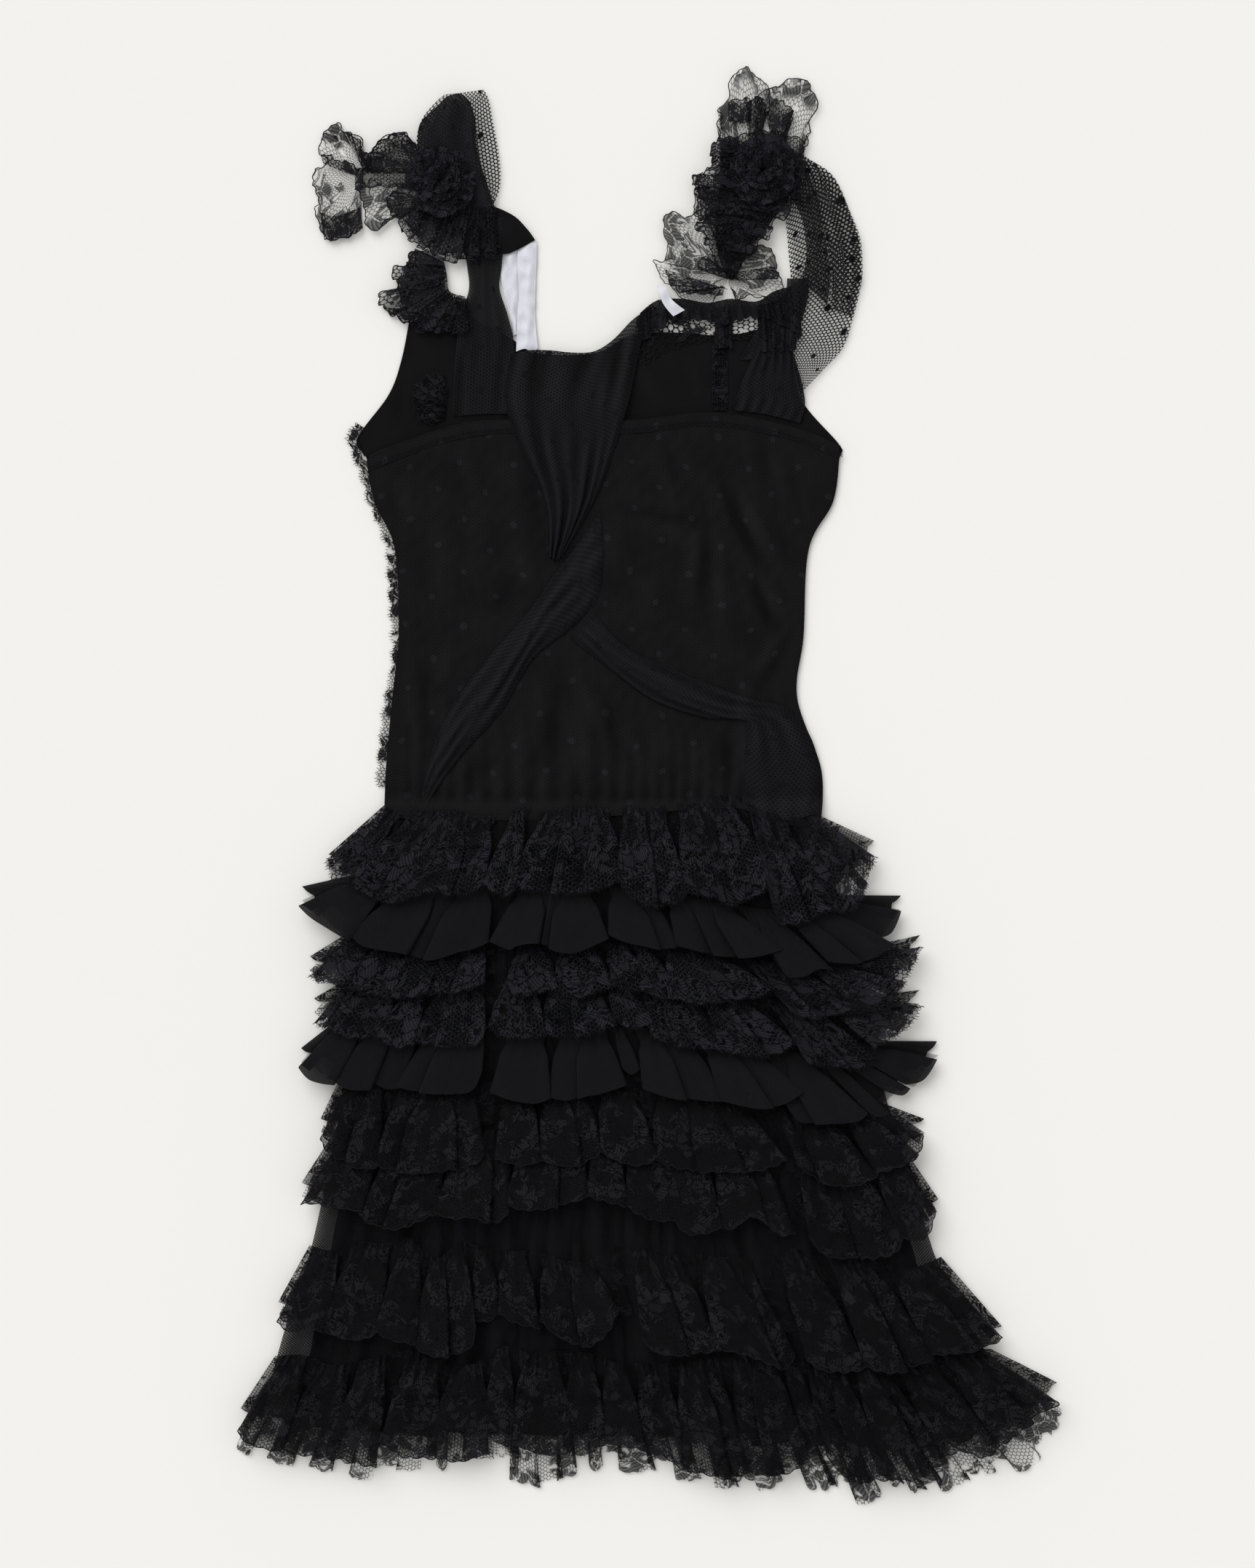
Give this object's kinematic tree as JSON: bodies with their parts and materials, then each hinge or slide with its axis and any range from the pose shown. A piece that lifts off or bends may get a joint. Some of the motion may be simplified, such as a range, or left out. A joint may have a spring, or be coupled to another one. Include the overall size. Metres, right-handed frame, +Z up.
{
  "type": "ruffle dress",
  "caption": "Knee-length ruffle dress laid flat with its back up: knit bodice, crossed tulle sashes, tiers of lace and chiffon ruffles, bow-trimmed straps.",
  "frame": {"origin": "middle of the dress's bounding box, on the surface it lies on", "axes": "+X across the dress to the right of the picture, +Y from the hem towards the straps, +Z up from the surface"},
  "size_m": [0.639, 1.0996, 0.0241],
  "materials": {
    "knit": "matte black stretch jersey",
    "dotted_tulle": "black tulle with woven dots",
    "lace": "black flowered raschel lace, scalloped hem",
    "tulle": "plain black tulle, sheer",
    "chiffon": "matte black chiffon, sheer in one layer",
    "satin": "white satin tape"
  },
  "bodies": {
    "root": {"front_bodice": "knit", "back_bodice": "knit", "back_band": "knit", "strap_tab": "knit", "neck_drape": "dotted_tulle", "sash_left": "dotted_tulle", "sash_right": "dotted_tulle", "strap_left": "dotted_tulle", "strap_right": "dotted_tulle", "tulle_loop_left": "dotted_tulle", "tulle_loop_right": "dotted_tulle", "gathered_tulle_right": "dotted_tulle", "neckline_lace": "lace", "ruched_trim": "lace", "scalloped_fan": "lace", "side_lace": "lace", "strap_ruffle_left": "lace", "strap_ruffle_right": "lace", "lace_bow_left": "lace", "lace_bow_right": "lace", "lace_fan_left": "lace", "lace_fan_right": "lace", "rosette_left": "lace", "rosette_right": "lace", "ruffle_1_back": "lace", "ruffle_1_front": "lace", "ruffle_3_back": "lace", "ruffle_3_front": "lace", "ruffle_4_back": "lace", "ruffle_4_front": "lace", "ruffle_6_back": "lace", "ruffle_6_front": "lace", "ruffle_7_back": "lace", "ruffle_7_front": "lace", "ruffle_8_back": "lace", "ruffle_8_front": "lace", "ruffle_9_back": "lace", "ruffle_9_front": "lace", "skirt_front": "tulle", "skirt_back": "tulle", "ruffle_2_back": "chiffon", "ruffle_2_front": "chiffon", "ruffle_5_back": "chiffon", "ruffle_5_front": "chiffon", "satin_tape_left": "satin", "satin_tape_under": "satin", "satin_tape_right": "satin"}
  },
  "joints": []
}
